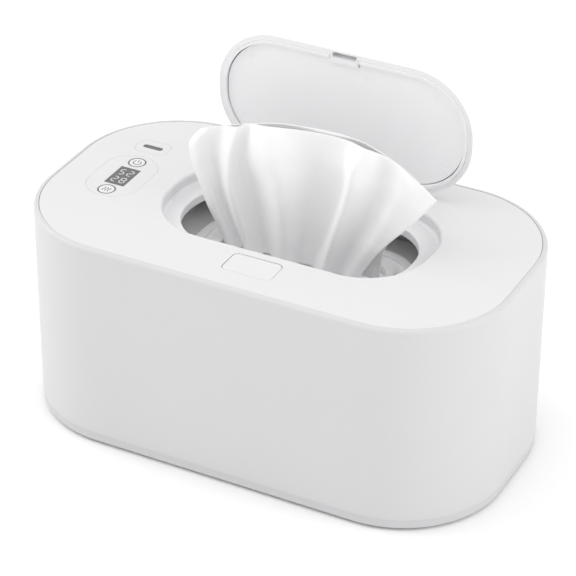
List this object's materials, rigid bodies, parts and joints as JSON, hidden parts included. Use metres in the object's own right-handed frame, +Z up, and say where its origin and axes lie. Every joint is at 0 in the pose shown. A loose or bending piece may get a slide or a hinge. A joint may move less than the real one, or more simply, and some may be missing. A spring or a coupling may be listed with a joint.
{
  "type": "baby wipe warmer",
  "caption": "Heated tub for baby wipes with a spring-opened flip lid, push-button latch, key and display panel, and a wipe standing in the outlet.",
  "frame": {"origin": "floor level, under the middle of the casing", "axes": "+X along the long side towards the user's right, +Y towards the hinge at the back, +Z up"},
  "size_m": [0.24, 0.135, 0.175],
  "materials": {
    "casing_white": "satin",
    "base_white": "satin",
    "feet_grey": "matt",
    "screw_steel": "zinc plated",
    "tub_white": "satin",
    "seal_white": "matt silicone",
    "plate_aluminium": "plain",
    "film_amber": "smooth film",
    "part_black": "matt",
    "fuse_steel": "bright",
    "foam_grey": "closed-cell foam",
    "wipe_white": "soft non-woven",
    "plate_white": "satin",
    "cover_white": "satin",
    "frame_white": "satin",
    "lid_white": "satin",
    "panel_grey": "satin",
    "catch_white": "satin",
    "pin_steel": "bright",
    "spring_steel": "bright",
    "button_white": "satin",
    "latch_white": "plain",
    "control_white": "satin",
    "display_grey": "smooth",
    "lens_grey": "smooth",
    "key_white": "satin",
    "board_green": "solder mask"
  },
  "bodies": {
    "casing": {"outer_shell": "casing_white", "base_pan": "base_white", "rubber_feet": "feet_grey", "base_screws": "screw_steel", "inner_tub": "tub_white", "chamber_seal": "seal_white", "heater_plate": "plate_aluminium", "heater_film": "film_amber", "thermostat": "part_black", "thermal_fuse": "fuse_steel", "insulation_pad": "foam_grey", "insulation_sleeve": "foam_grey", "dc_inlet": "part_black", "wipe_stack": "wipe_white"},
    "cover": {"top_cover": "cover_white", "outlet_frame": "frame_white", "hinge_pin": "pin_steel", "lid_spring": "spring_steel", "latch_housing": "latch_white", "control_panel": "control_white", "display_window": "display_grey", "indicator_frame": "control_white", "indicator_lens": "lens_grey", "electronics_tray": "latch_white", "circuit_board": "board_green", "tact_switches": "part_black", "display_module": "part_black", "cover_screws": "screw_steel", "wipe": "wipe_white", "button_springs": "spring_steel", "latch_spring": "spring_steel"},
    "lid": {"flip_lid": "lid_white", "lid_seal": "seal_white", "lid_panel": "panel_grey", "lid_catch": "catch_white"},
    "button": {"release_button": "button_white"},
    "latch": {"latch_slider": "latch_white"},
    "power_key": {"power_key": "key_white"},
    "heat_key": {"heat_key": "key_white"},
    "press_plate": {"press_plate": "plate_white"}
  },
  "joints": [
    {"name": "cover_lift", "type": "slide", "parent": "casing", "child": "cover", "axis": [0, 0, 1], "range_m": [0, 0.045]},
    {"name": "lid_hinge", "type": "hinge", "parent": "cover", "child": "lid", "pos_m": [0.0055, 0.0428, 0.0998], "axis": [1, 0, 0], "range_deg": [0, 90], "stiffness_Nm_per_rad": 0.02, "springref_deg": -17.19, "deforming": ["wipe"]},
    {"name": "button_press", "type": "slide", "parent": "cover", "child": "button", "axis": [0, 0, -1], "range_m": [0, 0.002], "stiffness_N_per_m": 800, "springref_m": -0.0015, "deforming": ["button_springs"]},
    {"name": "latch_slide", "type": "slide", "parent": "cover", "child": "latch", "axis": [0, -1, 0], "range_m": [0, 0.0011], "stiffness_N_per_m": 500, "springref_m": -0.001, "deforming": ["latch_spring"]},
    {"name": "power_key_press", "type": "slide", "parent": "cover", "child": "power_key", "axis": [0, 0, -1], "range_m": [0, 0.0006], "stiffness_N_per_m": 1000, "springref_m": -0.0008},
    {"name": "heat_key_press", "type": "slide", "parent": "cover", "child": "heat_key", "axis": [0, 0, -1], "range_m": [0, 0.0006], "stiffness_N_per_m": 1000, "springref_m": -0.0008},
    {"name": "press_plate_drop", "type": "slide", "parent": "casing", "child": "press_plate", "axis": [0, 0, -1], "range_m": [0, 0.058], "deforming": ["wipe_stack"]}
  ],
  "couplings": [
    {"joint": "latch_slide", "follows": "button_press", "ratio": 0.55}
  ]
}
